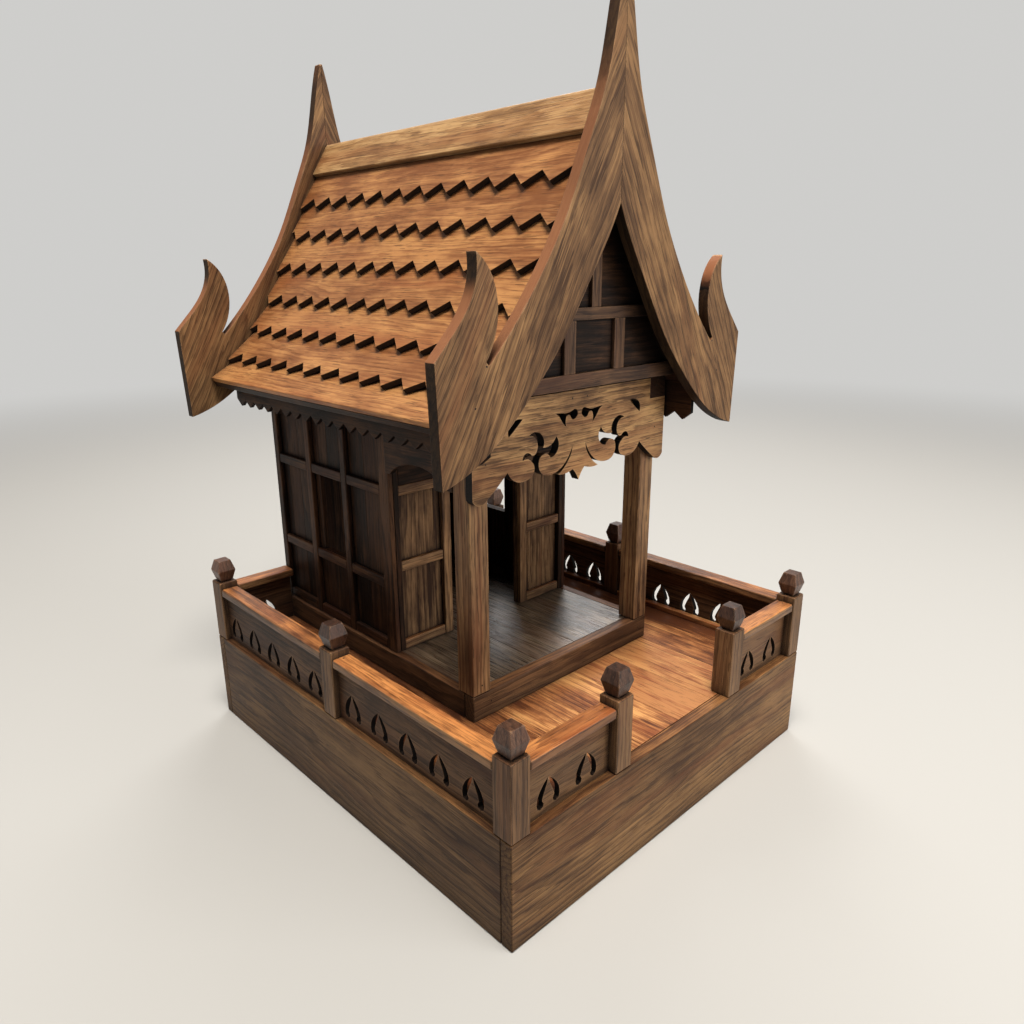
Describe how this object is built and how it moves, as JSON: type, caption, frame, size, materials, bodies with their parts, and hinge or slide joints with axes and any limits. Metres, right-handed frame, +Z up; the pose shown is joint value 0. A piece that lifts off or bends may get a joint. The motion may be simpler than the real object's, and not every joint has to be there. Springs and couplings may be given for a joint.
{
  "type": "spirit house",
  "caption": "Wooden spirit house: a walled room and open porch under a steep curved gable roof, on a box base with a low pierced fence.",
  "frame": {"origin": "on the ground under the middle of the whole object's bounding box", "axes": "+Z up, -Y the way the doorway and porch face, +X to the right for someone who looks at the porch"},
  "size_m": [0.34, 0.426, 0.566],
  "materials": {
    "base_teak": "satin",
    "deck_teak": "satin",
    "fence_teak": "satin",
    "wall_teak": "satin",
    "frame_teak": "satin",
    "carved_teak": "satin",
    "roof_teak": "satin"
  },
  "bodies": {
    "root": {"back_wall": "wall_teak", "back_wall_frame": "frame_teak", "bargeboard_back_left": "carved_teak", "bargeboard_back_right": "carved_teak", "bargeboard_front_left": "carved_teak", "bargeboard_front_right": "carved_teak", "base_end_boards": "base_teak", "base_side_boards": "base_teak", "deck": "deck_teak", "door_header": "wall_teak", "eave_boards": "roof_teak", "eave_valances": "carved_teak", "fence_ledges": "deck_teak", "fence_panels_back": "fence_teak", "fence_panels_front": "fence_teak", "fence_panels_sides": "fence_teak", "fence_posts": "fence_teak", "fretwork": "carved_teak", "front_wall": "wall_teak", "front_wall_frame": "frame_teak", "gable_back": "wall_teak", "gable_frames": "frame_teak", "gable_front": "wall_teak", "handrails": "fence_teak", "left_wall": "wall_teak", "platform_ends": "deck_teak", "platform_floor": "deck_teak", "platform_sides": "deck_teak", "porch_aprons": "frame_teak", "porch_posts": "frame_teak", "post_finials": "fence_teak", "ridge_cap_left": "roof_teak", "ridge_cap_right": "roof_teak", "right_wall": "wall_teak", "roof_course_1": "roof_teak", "roof_course_2": "roof_teak", "roof_course_3": "roof_teak", "roof_course_4": "roof_teak", "roof_course_5": "roof_teak", "roof_course_6": "roof_teak", "roof_deck_left": "roof_teak", "roof_deck_right": "roof_teak", "side_wall_frames": "frame_teak", "sills_ends": "base_teak", "sills_sides": "base_teak", "wall_plates": "frame_teak"}
  },
  "joints": []
}
